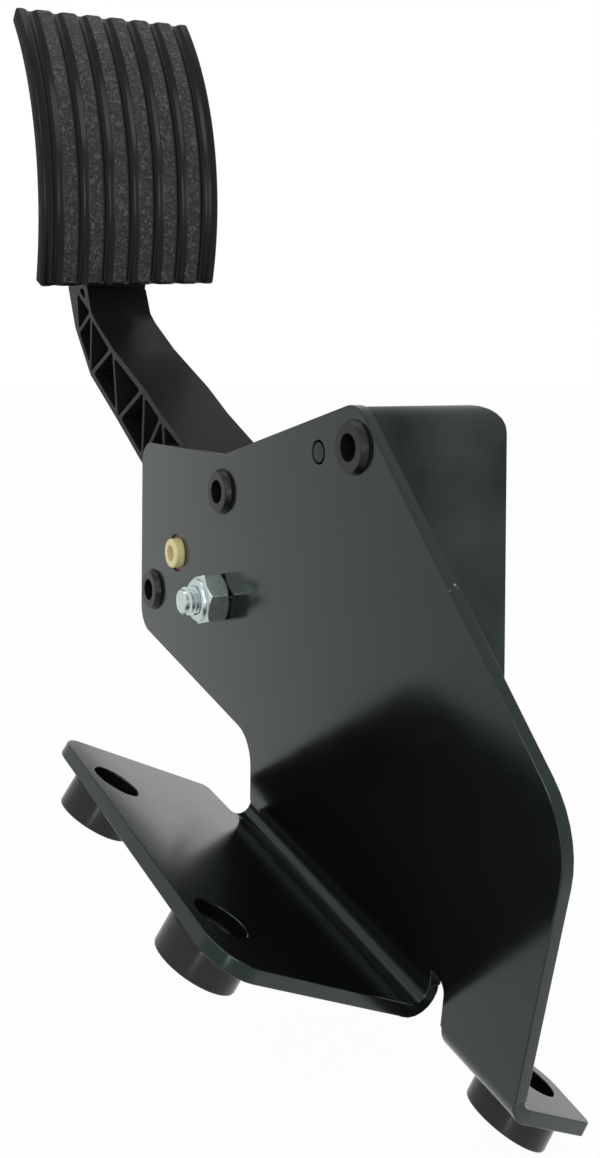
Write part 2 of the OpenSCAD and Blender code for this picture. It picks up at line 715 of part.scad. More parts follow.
module bearing_plate() color([0.45, 0.3, 0.2]) placed() difference() {
    union() {
        rod([0, 0], ring_in, sheet + lap, ring_d / 2);
        rod([0, 0], sheet, sheet + collar_t, ring_d / 2 + 2);
    }
    rod([0, 0], -lap, sheet + collar_t + lap, journal_d / 2 + running);
}
module bearing_housing() color([0.45, 0.3, 0.2]) placed() difference() {
    union() {
        rod([0, 0], wall_in - lap, far, ring_d / 2 + 1);
        rod([0, 0], wall_in - collar_t, wall_in, ring_d / 2 + 2);
    }
    rod([0, 0], wall_in - collar_t - lap, far + lap, journal_d / 2 + running);
}

// Friction pair
module friction_shoe() color([0.75, 0.72, 0.6]) placed() intersection() {
    rod([0, 0], arm_x0 + lap, arm_x0 + arm_w - lap, rub_r);
    rotate([tip_angle, 0, 0]) block(arm_x0, -rub_r - lap, -shoe_h / 2, arm_x0 + arm_w, -tip_r, shoe_h / 2);
}
module friction_track() color([0.5, 0.5, 0.48]) placed() difference() {
    intersection() {
        rod([0, 0], arm_x0, arm_x0 + arm_w, rub_r + gap + track_t);
        side_plate([[0, 0], 2 * rub_r * [-cos(track_low), -sin(track_low)],
            2 * rub_r * [-cos(track_high), sin(track_high)]],
            arm_x0, arm_x0 + arm_w);
    }
    rod([0, 0], arm_x0 - lap, arm_x0 + arm_w + lap, rub_r + gap);
}

// Springs and their rocking seat
module spring_seat() color([0.85, 0.83, 0.76]) placed() {
    rod(seat, arm_x0 + lap, arm_x0 + arm_w - lap, keel_r);
    block(arm_x0 + lap, seat[0] - keel_r + 0.5, seat[1] + 1, arm_x0 + arm_w - lap,
        seat[0] + keel_r - 0.5, seat_top - lap);
    translate([lever_mid, seat[0], seat_top - 2.2]) cylinder(h = 2.2, d = outer_d);
    translate([lever_mid, seat[0], seat_top - lap]) cylinder(h = 4, r = peg_r);
}
function coil_rise(u, wire, height) =
    u < 1 ? u * wire : u > turns - 1 ? height - wire - (turns - u) * wire :
    wire + (u - 1) * (height - 3 * wire) / (turns - 2);
module coil(d, wire, height) {
    rows = turns * wire_steps;
    mean = (d - wire) / 2;
    points = [for (i = [0:rows]) let (u = i / wire_steps, a = 360 * u, h = wire / 2 + coil_rise(u,
        wire, height))
        for (k = [0:wire_sides - 1]) let (b = 360 * k / wire_sides, r = mean + wire / 2 * cos(b))
            [r * cos(a), r * sin(a), h + wire / 2 * sin(b)]];
    sides = [for (i = [0:rows - 1]) for (k = [0:wire_sides - 1]) let (m = (k + 1) % wire_sides)
        each [[i * wire_sides + k, i * wire_sides + m, (i + 1) * wire_sides + m],
            [i * wire_sides + k, (i + 1) * wire_sides + m, (i + 1) * wire_sides + k]]];
    ends = [[for (k = [wire_sides - 1:-1:0]) k], [for (k = [0:wire_sides - 1]) rows * wire_sides + k]];
    polyhedron(points, concat(sides, ends));
}
module outer_spring() color([0.4, 0.42, 0.45]) placed() translate([lever_mid, spring_y, seat_top + running])
    coil(outer_d, outer_wire, spring_top - seat_top - 2 * running);
module inner_spring() color([0.45, 0.47, 0.5]) placed() translate([lever_mid, spring_y, seat_top + running])
    coil(inner_d, inner_wire, spring_top - seat_top - 2 * running);

// Through bolt, sleeve and stops
module through_bolt() color([0.7, 0.71, 0.7]) placed() {
    rod(bolt, lap - bolt_out, far + washer_t + lap, bolt_d / 2);
    taper(bolt, -bolt_out, lap - bolt_out, bolt_d / 2 - 0.8, bolt_d / 2);
    hexagon(bolt, far + washer_t, far + washer_t + bolt_head_h);
}
module compression_sleeve() color([0.6, 0.6, 0.6]) placed()
    tube(bolt, sheet, wall_in, sleeve_d / 2, bolt_d / 2 + running);
module lock_nut() color([0.72, 0.73, 0.72]) placed() difference() {
    union() {
        hexagon(bolt, -nut_h, 0);
        rod(bolt, -nut_h - nut_brim, -nut_h + lap, chamfer_r - 0.2);
        taper(bolt, -nut_h - nut_collar_h, -nut_h - nut_brim, bolt_d / 2 + 1.3, chamfer_r - 0.2);
    }
    rod(bolt, -nut_h - nut_collar_h - lap, lap, bolt_d / 2 + tight);
    rod(bolt, -nut_h - nut_collar_h + 0.4, -nut_h, bolt_d / 2 + 0.8 + tight);
}
module nut_insert() color([0.25, 0.35, 0.5]) placed()
    tube(bolt, -nut_h - nut_collar_h + 0.42, -nut_h, bolt_d / 2 + 0.8, bolt_d / 2 + tight);
module bolt_washer() color([0.7, 0.7, 0.7]) placed()
    tube(bolt, far, far + washer_t, washer_r, bolt_d / 2 + 0.2);
module idle_bumper() color([0.08, 0.08, 0.08]) placed()
    tube(bolt, lever_mid - 8, lever_mid + 8, sleeve_d / 2 + bumper_t, sleeve_d / 2 + tight);
module full_bumper() color([0.08, 0.08, 0.08]) placed()
    block(lever_mid - bumper_half - 1, bumper_y - bumper_half + 1, bumper_low,
        lever_mid + bumper_half + 1, bumper_y + bumper_half - 1,
        bumper_low + bumper_block);

// Sensor
module sensor_case() color([0.1, 0.1, 0.1]) placed() difference() {
    union() {
        side_plate(box(-base_half, -base_half, base_half, base_half, 4), far, floor_x);
        side_plate(box(-body_half, -body_half, body_half, body_half, 5), far + lap, case_end);
        block(socket_x0, -socket_half, -socket_low, socket_x1, socket_half, -body_half + lap);
    }
    difference() {
        side_plate(box(-cavity_half, -cavity_half, cavity_half, cavity_half, 3), floor_x, case_end + lap);
        for (y = [-lid_screw_at, lid_screw_at]) for (z = [-lid_screw_at, lid_screw_at])
            rod([y, z], far + lap, case_end, screw_d / 2 + 1.1);
        for (y = [-cavity_half - lap, cavity_half - 2]) block(far + lap, y, -3, board_x, y + 3, 3);
    }
    block(socket_x0 + case_wall, -socket_half + case_wall, -socket_low - lap, socket_x1 - case_wall,
        socket_half - case_wall, -body_half - case_wall);
    rod([0, 0], far - lap, floor_x + lap, journal_d / 2 + 1);
    rod(bolt, far - lap, floor_x + lap, washer_r + gap);
    difference() {
        rod([0, 0], far - lap, far + seal_t + running, seal_r + running);
        rod([0, 0], far - 2 * lap, far + 2 * seal_t, seal_in - running);
    }
    for (y = [-screw_at, screw_at]) for (z = [-screw_at, screw_at])
        rod([y, z], far - lap, floor_x + lap, screw_d / 2 + 0.2);
    for (y = [-lid_screw_at, lid_screw_at]) for (z = [-lid_screw_at, lid_screw_at])
        rod([y, z], case_end - lid_bite - lap, case_end + lap, screw_d / 2 + tight);
    for (x = contact_x) for (k = [-1:1])
        block(x - contact_w / 2 - tight, k * pin_step - contact_w / 2 - tight,
            -body_half - 3 * lap - case_wall,
            x + contact_w / 2 + tight, k * pin_step + contact_w / 2 + tight, -cavity_half + lap);
}
module case_seal() color([0.35, 0.12, 0.1]) placed() tube([0, 0], far, far + seal_t, seal_r, seal_in);
module small_screw(at, x0, x1) {
    rod(at, x0, x1 + lap, screw_d / 2);
    difference() {
        rod(at, x1, x1 + 2, screw_head_d / 2);
        translate([x1 + 1, at[0], at[1]]) rotate([0, 90, 0]) cylinder(h = 2, d = 2.4, $fn = 6);
    }
}
module case_screws() color([0.65, 0.65, 0.62]) placed()
    for (y = [-screw_at, screw_at]) for (z = [-screw_at, screw_at]) small_screw([y, z], wall_in, floor_x);
module magnet_carrier() color([0.85, 0.84, 0.8]) placed() difference() {
    rod([0, 0], carrier_x0, carrier_x0 + 5, magnet_r + 1);
    rod([0, 0], carrier_x0 - lap, carrier_x0 + 6, journal_d / 2 + tight);
    difference() {
        rod([0, 0], carrier_x0 + 2, carrier_x0 + 6, magnet_r + tight);
        rod([0, 0], carrier_x0, carrier_x0 + 7, magnet_in - tight);
    }
}
module ring_magnet() color([0.3, 0.3, 0.32]) placed()
    tube([0, 0], carrier_x0 + 2, carrier_x0 + 5, magnet_r, magnet_in);
module sensor_board() color([0.08, 0.3, 0.14]) placed() difference() {
    rod([0, 0], board_x, board_x + board_t, board_r);
    for (y = [-lid_screw_at, lid_screw_at]) for (z = [-lid_screw_at, lid_screw_at])
        rod([y, z], board_x - lap, board_x + board_t + lap, screw_d / 2 + 1.1 + gap);
}
module hall_chips() color([0.07, 0.07, 0.07]) placed()
    for (y = [-5.5, 1.5]) block(board_x - chip_t, y, -2.5, board_x, y + 4, 2.5);
module contact(x, y, board_side) {
    block(x - contact_w / 2, y - contact_w / 2, contact_low, x + contact_w / 2, y + contact_w / 2,
        contact_top);
    block(min(x, board_side), y - contact_w / 2, contact_top - contact_w, max(x, board_side),
        y + contact_w / 2, contact_top);
}
module terminals() color([0.8, 0.68, 0.35]) placed() for (k = [-1:1]) {
    contact(contact_x[0], k * pin_step, board_x);
    contact(contact_x[1], k * pin_step, board_x + board_t);
}
module sensor_cover() color([0.11, 0.11, 0.11]) placed() difference() {
    side_plate(box(-body_half, -body_half + gap, body_half, body_half, 5), case_end, case_end + lid_t);
    for (y = [-lid_screw_at, lid_screw_at]) for (z = [-lid_screw_at, lid_screw_at])
        rod([y, z], case_end - lap, case_end + lid_t + lap, screw_d / 2 + 0.2);
    block(case_end - lap, -socket_half - gap, -body_half - lap, case_end + lid_t + lap,
        socket_half + gap, -body_half + lap + gap);
}
module cover_seal() color([0.35, 0.12, 0.1]) placed() difference() {
    side_plate(box(gap - cavity_half, gap - cavity_half, cavity_half - gap, cavity_half - gap, 3),
        case_end - 1.2, case_end);
    rod([0, 0], case_end - 2, case_end + lap, board_r - 1);
    for (y = [-lid_screw_at, lid_screw_at]) for (z = [-lid_screw_at, lid_screw_at])
        rod([y, z], case_end - 2, case_end + lap, screw_d / 2 + 1.1 + gap);
}
module cover_screws() color([0.65, 0.65, 0.62]) placed()
    for (y = [-lid_screw_at, lid_screw_at]) for (z = [-lid_screw_at, lid_screw_at])
        small_screw([y, z], case_end - lid_bite, case_end + lid_t);

bracket();
spacer_rear_left();
spacer_front_left();
spacer_right();
housing();
lever();
pad();
axle();
bearing_plate();
bearing_housing();
friction_shoe();
friction_track();
spring_seat();
outer_spring();
inner_spring();
through_bolt();
compression_sleeve();
lock_nut();
nut_insert();
bolt_washer();
idle_bumper();
full_bumper();
sensor_case();
case_seal();
case_screws();
magnet_carrier();
ring_magnet();
sensor_board();
hall_chips();
terminals();
sensor_cover();
cover_seal();
cover_screws();
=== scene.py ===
import math

import bpy
import bmesh
from mathutils import Matrix, Vector


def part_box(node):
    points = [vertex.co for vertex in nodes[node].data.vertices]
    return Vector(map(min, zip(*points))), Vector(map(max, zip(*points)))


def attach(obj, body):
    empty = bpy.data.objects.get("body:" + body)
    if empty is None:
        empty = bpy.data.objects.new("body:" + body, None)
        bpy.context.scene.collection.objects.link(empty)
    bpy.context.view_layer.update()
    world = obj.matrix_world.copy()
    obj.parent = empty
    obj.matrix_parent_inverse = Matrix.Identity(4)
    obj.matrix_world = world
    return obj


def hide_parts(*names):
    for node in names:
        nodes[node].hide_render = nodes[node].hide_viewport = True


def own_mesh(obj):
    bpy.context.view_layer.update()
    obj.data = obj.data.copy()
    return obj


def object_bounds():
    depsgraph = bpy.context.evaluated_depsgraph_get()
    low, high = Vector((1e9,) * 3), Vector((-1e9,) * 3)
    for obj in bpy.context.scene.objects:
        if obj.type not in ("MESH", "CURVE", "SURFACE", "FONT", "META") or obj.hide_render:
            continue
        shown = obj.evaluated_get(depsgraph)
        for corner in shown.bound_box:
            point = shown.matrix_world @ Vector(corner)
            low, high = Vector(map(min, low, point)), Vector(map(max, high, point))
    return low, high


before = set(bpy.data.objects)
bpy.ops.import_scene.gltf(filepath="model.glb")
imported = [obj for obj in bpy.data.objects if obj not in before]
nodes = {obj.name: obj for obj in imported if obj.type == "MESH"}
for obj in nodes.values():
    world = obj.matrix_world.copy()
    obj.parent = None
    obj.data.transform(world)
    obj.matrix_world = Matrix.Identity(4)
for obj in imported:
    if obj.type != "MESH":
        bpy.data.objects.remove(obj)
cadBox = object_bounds()
print("frame loaded", len(nodes), "nodes")


# helpers for modelling
def clearSelection():
    if bpy.context.mode != "OBJECT":
        bpy.ops.object.mode_set(mode="OBJECT")
    bpy.ops.object.select_all(action="DESELECT")


def activate(piece):
    clearSelection()
    piece.select_set(True)
    bpy.context.view_layer.objects.active = piece


def applyModifier(piece, kind, **settings):
    activate(piece)
    modifier = piece.modifiers.new(kind.lower(), kind)
    for key, value in settings.items():
        setattr(modifier, key, value)
    bpy.ops.object.modifier_apply(modifier=modifier.name)


def freeze(piece):
    activate(piece)
    bpy.ops.object.transform_apply(location=True, rotation=True, scale=True)


def smooth(piece, degrees=32):
    activate(piece)
    bpy.ops.object.shade_smooth_by_angle(angle=math.radians(degrees))


def outwards(piece, distance=1e-6):
    activate(piece)
    bpy.ops.object.mode_set(mode="EDIT")
    bpy.ops.mesh.select_all(action="SELECT")
    bpy.ops.mesh.remove_doubles(threshold=distance)
    bpy.ops.mesh.normals_make_consistent(inside=False)
    bpy.ops.object.mode_set(mode="OBJECT")


def finishPiece(piece, body, replaced=()):
    freeze(piece)
    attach(piece, body)
    if replaced:
        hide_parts(*replaced)


copyValues = {"merge": 2e-6, "flatWithin": 0.3, "mergeAfter": 5e-6}


def copyNode(nodeName, name):
    activate(nodes[nodeName])
    bpy.ops.object.duplicate()
    piece = bpy.context.active_object
    piece.name = name
    for key in list(piece.keys()):
        del piece[key]
    piece.parent = None
    return piece


def roundedCopy(nodeName, body, edge, steps, sharp):
    # the CAD solid with its doubles merged and its edges broken, as paint and moulding leave them
    piece = copyNode(nodeName, nodeName + "_finish")
    bpy.ops.object.mode_set(mode="EDIT")
    bpy.ops.mesh.select_all(action="SELECT")
    bpy.ops.mesh.remove_doubles(threshold=copyValues["merge"])
    bpy.ops.mesh.dissolve_limited(angle_limit=math.radians(copyValues["flatWithin"]))
    bpy.ops.object.mode_set(mode="OBJECT")
    applyModifier(piece, "BEVEL", width=edge, segments=steps, limit_method="ANGLE",
                  angle_limit=math.radians(sharp), miter_outer="MITER_ARC", use_clamp_overlap=False)
    outwards(piece, copyValues["mergeAfter"])
    smooth(piece, sharp)
    applyModifier(piece, "WEIGHTED_NORMAL", mode="FACE_AREA", weight=100, keep_sharp=True)
    finishPiece(piece, body, [nodeName])
    return piece


# helpers for materials
def linkNodes(tree, pairs):
    for source, target in pairs:
        tree.links.new(source, target)


def newNode(tree, kind, **values):
    node = tree.nodes.new(kind)
    for key, value in values.items():
        if key in node.inputs:
            node.inputs[key].default_value = value
        else:
            setattr(node, key, value)
    return node


def backgroundRays(tree):
    # the camera, mirrors and glass all see the same white background
    path = tree.nodes.new("ShaderNodeLightPath")
    seen = newNode(tree, "ShaderNodeMath", operation="MAXIMUM")
    seenAll = newNode(tree, "ShaderNodeMath", operation="MAXIMUM")
    linkNodes(tree, [(path.outputs["Is Camera Ray"], seen.inputs[0]),
                     (path.outputs["Is Glossy Ray"], seen.inputs[1]),
                     (seen.outputs[0], seenAll.inputs[0]),
                     (path.outputs["Is Transmission Ray"], seenAll.inputs[1])])
    return seenAll.outputs[0]


maskValues = {"patchLow": 0.35, "patchHigh": 0.65, "chipCore": 0.6, "bareMetal": (0.2, 0.21, 0.2),
              "crestLow": 0.4, "crestHigh": 0.6}


def finishMaterial(name, look):
    material = bpy.data.materials.new(name)
    material.use_nodes = True
    tree = material.node_tree
    shader = tree.nodes["Principled BSDF"]
    shader.inputs["Metallic"].default_value = look.get("metal", 0.0)
    shader.inputs["Specular IOR Level"].default_value = look.get("specular", 0.5)
    shader.inputs["Specular Tint"].default_value = (*look.get("sheenTint", (1.0, 1.0, 1.0)), 1)
    shader.inputs["Coat Weight"].default_value = look.get("coat", 0.0)
    shader.inputs["Coat Roughness"].default_value = 0.2
    place = tree.nodes.new("ShaderNodeTexCoord").outputs["Object"]

    cloud = newNode(tree, "ShaderNodeTexNoise", Scale=look.get("cloudScale", 40.0), Detail=4.0)
    colour = tree.nodes.new("ShaderNodeMix")
    colour.data_type = "RGBA"
    colour.inputs[6].default_value = (*look["colour"], 1)
    colour.inputs[7].default_value = (*look.get("colourTo", look["colour"]), 1)
    haze = tree.nodes.new("ShaderNodeMapRange")
    haze.inputs["From Min"].default_value = look.get("cloudLow", 0.0)
    haze.inputs["From Max"].default_value = look.get("cloudHigh", 1.0)
    linkNodes(tree, [(place, cloud.inputs["Vector"]), (cloud.outputs["Fac"], haze.inputs["Value"]),
                     (haze.outputs[0], colour.inputs[0]), (colour.outputs[2], shader.inputs["Base Color"])])

    patch = newNode(tree, "ShaderNodeTexNoise", Scale=look.get("patchScale", 90.0), Detail=6.0)
    spread = tree.nodes.new("ShaderNodeMapRange")
    spread.inputs["From Min"].default_value = maskValues["patchLow"]
    spread.inputs["From Max"].default_value = maskValues["patchHigh"]
    spread.inputs["To Min"].default_value = look["rough"]
    spread.inputs["To Max"].default_value = look.get("roughTo", look["rough"] + 0.06)
    linkNodes(tree, [(place, patch.inputs["Vector"]), (patch.outputs["Fac"], spread.inputs["Value"]),
                     (spread.outputs["Result"], shader.inputs["Roughness"])])

    grain = newNode(tree, "ShaderNodeTexNoise", Scale=look.get("grainScale", 1500.0), Detail=3.0,
                    Distortion=look.get("crease", 0.0))
    bump = tree.nodes.new("ShaderNodeBump")
    bump.inputs["Strength"].default_value = look.get("grain", 0.1)
    bump.inputs["Distance"].default_value = look.get("grainDeep", 0.00005)
    linkNodes(tree, [(place, grain.inputs["Vector"]), (grain.outputs["Fac"], bump.inputs["Height"]),
                     (bump.outputs["Normal"], shader.inputs["Normal"])])
    shown = colour.outputs[2]
    for chipX, chipY, chipZ, chipSize in look.get("chips", []):  # paint knocked off down to the metal
        away = newNode(tree, "ShaderNodeVectorMath", operation="DISTANCE")
        away.inputs[1].default_value = (chipX, chipY, chipZ)
        near = tree.nodes.new("ShaderNodeMapRange")
        near.inputs["From Min"].default_value = chipSize * maskValues["chipCore"]
        near.inputs["From Max"].default_value = chipSize
        near.inputs["To Min"].default_value = 1.0
        near.inputs["To Max"].default_value = 0.0
        bare = tree.nodes.new("ShaderNodeMix")
        bare.data_type = "RGBA"
        bare.inputs[7].default_value = (*maskValues["bareMetal"], 1)
        linkNodes(tree, [(place, away.inputs[0]), (away.outputs["Value"], near.inputs["Value"]),
                         (near.outputs[0], bare.inputs[0]), (shown, bare.inputs[6]),
                         (bare.outputs[2], shader.inputs["Base Color"])])
        shown = bare.outputs[2]
    if "crease" in look:  # the grain's hollows are painted darker than its crests, as painted shade
        grainHeightAndShade = tree.nodes.new("ShaderNodeMapRange")
        grainHeightAndShade.inputs["From Min"].default_value = maskValues["crestLow"]
        grainHeightAndShade.inputs["From Max"].default_value = maskValues["crestHigh"]
        linkNodes(tree, [(grain.outputs["Fac"], grainHeightAndShade.inputs["Value"]),
                         (grainHeightAndShade.outputs[0], colour.inputs[0]), (grainHeightAndShade.outputs[0], bump.inputs["Height"])])
    return material


def paint(nodeName, material):
    mesh = nodes[nodeName].data
    if not mesh.materials:
        mesh.materials.append(material)
    for index in range(len(mesh.materials)):
        mesh.materials[index] = material


# camera, floor and light
cameraValues = {"place": (-0.0925188, -0.2009521, 0.1162568), "yaw": 29.77, "pitch": -0.54, "roll": 0.46,
                "lens": 35.786, "shiftY": -0.17802, "sensor": 36, "near": 0.01, "far": 50}
clearSelection()
bpy.ops.object.camera_add(location=cameraValues["place"])
camera = bpy.context.active_object
turn = (Matrix.Rotation(math.radians(-cameraValues["yaw"]), 4, "Z")
        @ Matrix.Rotation(math.radians(90 + cameraValues["pitch"]), 4, "X")
        @ Matrix.Rotation(math.radians(cameraValues["roll"]), 4, "Z"))
camera.rotation_euler = turn.to_euler()
camera.data.lens = cameraValues["lens"]
camera.data.sensor_width = cameraValues["sensor"]
camera.data.shift_y = cameraValues["shiftY"]
camera.data.clip_start = cameraValues["near"]
camera.data.clip_end = cameraValues["far"]
bpy.context.scene.camera = camera
bpy.context.scene.view_settings.view_transform = "Standard"

floorValues = {"gap": 0.0005, "size": 12.0, "colour": (1.0, 1.0, 1.0), "rough": 0.9, "white": 0.955}
clearSelection()
bpy.ops.mesh.primitive_plane_add(size=floorValues["size"], location=(0, 0, cadBox[0].z - floorValues["gap"]))
floor = bpy.context.active_object
floor.name = "floor"
floorMaterial = bpy.data.materials.new("paleFloor")
floorMaterial.use_nodes = True
tree = floorMaterial.node_tree
shader = tree.nodes["Principled BSDF"]
shader.inputs["Base Color"].default_value = (*floorValues["colour"], 1)
shader.inputs["Roughness"].default_value = floorValues["rough"]
glow = newNode(tree, "ShaderNodeEmission", Color=(1, 1, 1, 1), Strength=1.0)
mix = tree.nodes.new("ShaderNodeMixShader")
share = newNode(tree, "ShaderNodeMath", operation="MULTIPLY")
share.inputs[1].default_value = floorValues["white"]
linkNodes(tree, [(backgroundRays(tree), share.inputs[0]), (share.outputs[0], mix.inputs[0]),
                 (shader.outputs[0], mix.inputs[1]), (glow.outputs[0], mix.inputs[2]),
                 (mix.outputs[0], tree.nodes["Material Output"].inputs["Surface"])])
floor.data.materials.append(floorMaterial)

roomValues = {"colour": (0.97, 1.0, 0.99), "strength": 0.7}
world = bpy.context.scene.world or bpy.data.worlds.new("studio")
bpy.context.scene.world = world
world.use_nodes = True
tree = world.node_tree
tree.nodes.clear()
room = newNode(tree, "ShaderNodeBackground", Color=(*roomValues["colour"], 1),
               Strength=roomValues["strength"])
white = newNode(tree, "ShaderNodeBackground", Color=(1, 1, 1, 1), Strength=1.0)
mix = tree.nodes.new("ShaderNodeMixShader")
out = tree.nodes.new("ShaderNodeOutputWorld")
linkNodes(tree, [(backgroundRays(tree), mix.inputs[0]), (room.outputs[0], mix.inputs[1]),
                 (white.outputs[0], mix.inputs[2]), (mix.outputs[0], out.inputs["Surface"])])

lampValues = {
    "keyLamp": {"place": (-0.9, -0.7, 0.9), "aim": (0, 0.1, 0.1), "size": 0.6, "power": 5.0},
    "fillLamp": {"place": (-0.5, -1.0, 0.12), "aim": (0, 0.15, 0.13), "size": 0.7, "tall": 0.4,
                 "power": 4.0},
    "topLamp": {"place": (0.1, 0.3, 1.2), "aim": (0, 0.1, 0.1), "size": 0.6, "power": 2.0},
}
for name, values in lampValues.items():
    clearSelection()
    bpy.ops.object.light_add(type="AREA", location=values["place"])
    lamp = bpy.context.active_object
    lamp.name = name
    lamp.data.shape = "RECTANGLE"
    lamp.data.size = values["size"]
    lamp.data.size_y = values.get("tall", values["size"])
    lamp.data.energy = values["power"]
    aim = Vector(values["aim"]) - Vector(values["place"])
    lamp.rotation_euler = aim.to_track_quat("-Z", "Y").to_euler()
print("camera, floor and lamps made")


# finishes
paintTint = (0.68, 1.0, 0.9)  # the cool green cast of the gloss
bracketPaint = {"colour": (0.001, 0.0011, 0.001), "colourTo": (0.006, 0.0063, 0.006), "rough": 0.15,
                "roughTo": 0.19, "specular": 0.4, "cloudScale": 25.0, "patchScale": 60.0,
                "grainScale": 500.0, "grain": 0.06, "sheenTint": paintTint,
                "chips": [(0.0507, -0.0129, 0.0701, 0.0006), (0.0528, -0.0117, 0.0706, 0.0004),
                          (0.0531, -0.0121, 0.0699, 0.0004)]}
spacerPaint = {"colour": (0.005, 0.005, 0.0048), "colourTo": (0.01, 0.0095, 0.009), "rough": 0.14,
               "roughTo": 0.22, "specular": 0.3, "grainScale": 700.0, "grain": 0.25}
housingPlastic = {"colour": (0.001, 0.0011, 0.001), "colourTo": (0.026, 0.028, 0.026), "rough": 0.26,
                  "roughTo": 0.42, "specular": 0.26, "cloudScale": 45.0, "patchScale": 35.0,
                  "cloudLow": 0.3, "cloudHigh": 0.7, "grainScale": 1800.0, "grain": 0.12,
                  "sheenTint": paintTint}
# the formed heads: rougher, and darker partly as painted shade in their bores
headPlasticBoreShade = {"colour": (0.003, 0.003, 0.003), "colourTo": (0.006, 0.006, 0.006), "rough": 0.28,
               "roughTo": 0.42, "specular": 0.25, "grainScale": 1200.0, "grain": 0.3}
leverPlastic = {"colour": (0.005, 0.005, 0.0048), "colourTo": (0.011, 0.0105, 0.009), "rough": 0.28,
                "roughTo": 0.36, "specular": 0.05, "cloudScale": 22.0, "grainScale": 1600.0,
                "grain": 0.08}
# the lands; with crease set, the grain's hollows are painted darker, as painted shade
landRubber = {"colour": (0.009, 0.0095, 0.0095), "colourTo": (0.05, 0.053, 0.052), "rough": 0.4,
              "roughTo": 0.6, "specular": 0.36, "grainScale": 620.0, "grain": 1.0, "grainDeep": 0.0009,
              "crease": 1.2}
# the same black rubber for the tread's side walls, coloured darker as painted shade on the sides
sideRubberPaintedShade = {"colour": (0.004, 0.0042, 0.0042), "colourTo": (0.008, 0.0082, 0.008), "rough": 0.5,
              "roughTo": 0.6, "specular": 0.05, "grainScale": 1200.0, "grain": 0.1}
channelRubber = {"colour": (0.004, 0.0042, 0.0042), "colourTo": (0.007, 0.0072, 0.007),
                 "specular": 0.14, "rough": 0.18, "roughTo": 0.28, "grainScale": 1200.0, "grain": 0.05}
creamPlastic = {"colour": (0.63, 0.56, 0.29), "colourTo": (0.53, 0.46, 0.22), "rough": 0.4,
                "roughTo": 0.5, "grain": 0.1}
brownPlastic = {"colour": (0.2, 0.06, 0.03), "colourTo": (0.1, 0.03, 0.015), "rough": 0.45,
                "grain": 0.1}
zincPlate = {"colour": (0.43, 0.52, 0.51), "colourTo": (0.57, 0.64, 0.63), "metal": 0.85, "rough": 0.24,
             "roughTo": 0.34, "cloudScale": 200.0, "patchScale": 400.0, "grainScale": 1500.0,
             "grain": 0.08}
plainSteel = {"colour": (0.5, 0.5, 0.49), "colourTo": (0.42, 0.42, 0.41), "metal": 1.0, "rough": 0.28,
              "roughTo": 0.4, "grain": 0.2}
springSteel = {"colour": (0.24, 0.25, 0.27), "colourTo": (0.32, 0.33, 0.34), "metal": 1.0,
               "rough": 0.25, "roughTo": 0.36, "grain": 0.15}
nylon = {"colour": (0.55, 0.55, 0.5), "colourTo": (0.45, 0.45, 0.4), "rough": 0.4, "grain": 0.1}
stopRubber = {"colour": (0.015, 0.015, 0.015), "colourTo": (0.025, 0.025, 0.025), "rough": 0.75,
              "grain": 0.4}
slideway = {"colour": (0.5, 0.46, 0.36), "colourTo": (0.44, 0.4, 0.3), "rough": 0.45, "grain": 0.15}
sealRubber = {"colour": (0.24, 0.06, 0.04), "colourTo": (0.3, 0.08, 0.05), "rough": 0.6, "grain": 0.25}
groundMagnet = {"colour": (0.1, 0.1, 0.11), "colourTo": (0.16, 0.16, 0.17), "metal": 1.0, "rough": 0.35,
                "grain": 0.3}
boardLacquer = {"colour": (0.012, 0.1, 0.035), "colourTo": (0.016, 0.13, 0.05), "rough": 0.25,
                "coat": 0.4, "grain": 0.1}
chipPlastic = {"colour": (0.015, 0.015, 0.015), "colourTo": (0.03, 0.03, 0.03), "rough": 0.55,
               "grain": 0.3}
tinned = {"colour": (0.68, 0.52, 0.24), "colourTo": (0.74, 0.66, 0.44), "metal": 1.0, "rough": 0.22,
          "grain": 0.15}
finishes = {
    "bracketPaint": (bracketPaint, ["bracket"]),
    "spacerPaint": (spacerPaint, ["spacer_rear_left", "spacer_front_left", "spacer_right"]),
    "housingPlastic": (housingPlastic, ["housing", "sensor_case", "sensor_cover"]),
    "headPlasticBoreShade": (headPlasticBoreShade, []),
    "leverPlastic": (leverPlastic, ["lever"]),
    "landRubber": (landRubber, ["pad"]),
    "channelRubber": (channelRubber, []),
    "sideRubberPaintedShade": (sideRubberPaintedShade, []),
    "creamPlastic": (creamPlastic, ["axle", "spring_seat", "magnet_carrier"]),
    "brownPlastic": (brownPlastic, ["bearing_plate", "bearing_housing"]),
    "zincPlate": (zincPlate, ["through_bolt", "lock_nut", "bolt_washer", "case_screws", "cover_screws"]),
    "plainSteel": (plainSteel, ["compression_sleeve", "friction_track"]),
    "springSteel": (springSteel, ["outer_spring", "inner_spring"]),
    "nylon": (nylon, ["nut_insert"]),
    "stopRubber": (stopRubber, ["idle_bumper", "full_bumper"]),
    "slideway": (slideway, ["friction_shoe"]),
    "sealRubber": (sealRubber, ["case_seal", "cover_seal"]),
    "groundMagnet": (groundMagnet, ["ring_magnet"]),
    "boardLacquer": (boardLacquer, ["sensor_board"]),
    "chipPlastic": (chipPlastic, ["hall_chips"]),
    "tinned": (tinned, ["terminals"]),
}
materials = {}
for name, (look, members) in finishes.items():
    materials[name] = finishMaterial(name, look)
    for member in members:
        paint(member, materials[name])
print("finishes made", len(materials))


